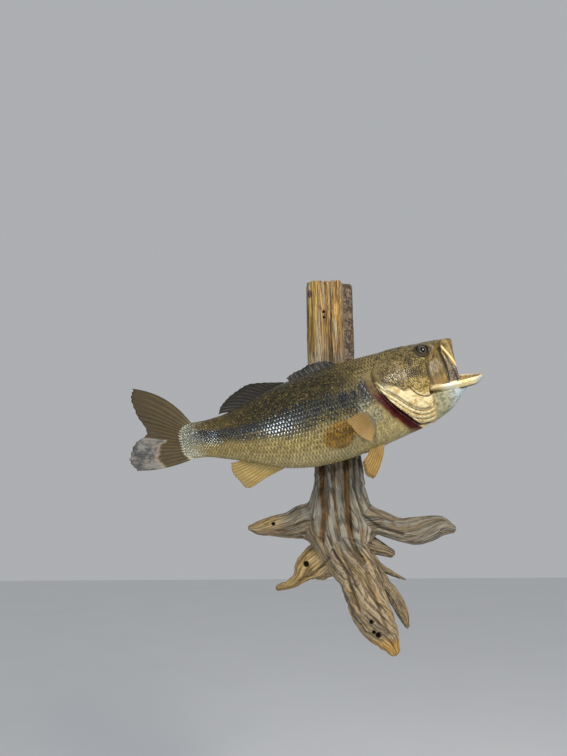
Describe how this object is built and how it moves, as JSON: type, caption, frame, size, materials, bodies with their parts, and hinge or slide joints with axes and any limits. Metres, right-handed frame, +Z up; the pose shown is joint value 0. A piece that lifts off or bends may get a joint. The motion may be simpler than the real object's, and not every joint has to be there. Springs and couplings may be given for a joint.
{
  "type": "mounted largemouth bass",
  "caption": "Life-size largemouth bass with open mouth, head tilted up, fixed by its far flank to a weathered driftwood post with splayed roots that hangs flat on a wall.",
  "frame": {"origin": "a point on the flat wall side of the driftwood post, behind the fish's shoulders", "axes": "+Z up; +Y into the wall, out of the post's flat back; +X along the wall towards the fish's head, so the fish's right side faces -Y"},
  "size_m": [0.5254, 0.1723, 0.5747],
  "materials": {
    "fish_skin": "scaled olive skin, glossy varnish",
    "pale_skin": "cream and yellow skin, glossy varnish",
    "mouth_skin": "smooth tan and grey-pink, satin",
    "dark_fin": "dry rayed membrane, satin",
    "golden_fin": "dry rayed membrane, satin",
    "glass_eye": "clear, polished, dark pupil",
    "driftwood": "weathered grey-brown with open grain, matte"
  },
  "bodies": {
    "root": {"trunk_front": "fish_skin", "trunk_middle": "fish_skin", "tail_stalk": "fish_skin", "head": "fish_skin", "gill_cover_right": "fish_skin", "gill_cover_left": "fish_skin", "branchiostegals_right": "pale_skin", "branchiostegals_left": "pale_skin", "throat": "pale_skin", "lower_jaw": "pale_skin", "tongue": "mouth_skin", "maxilla_right": "mouth_skin", "maxilla_left": "mouth_skin", "premaxilla": "fish_skin", "eye_right": "glass_eye", "eye_left": "glass_eye", "caudal_fin": "dark_fin", "soft_dorsal_fin": "dark_fin", "spiny_dorsal_fin": "dark_fin", "anal_fin": "golden_fin", "pectoral_fin_right": "golden_fin", "pectoral_fin_left": "golden_fin", "pelvic_fin_right": "golden_fin", "pelvic_fin_left": "golden_fin", "driftwood_post": "driftwood", "driftwood_stump": "driftwood", "root_left": "driftwood", "root_right": "driftwood", "root_centre": "driftwood", "root_lower_left": "driftwood", "root_lower_right": "driftwood", "root_twig": "driftwood", "root_stub": "driftwood", "hanger_block": "driftwood"}
  },
  "joints": []
}
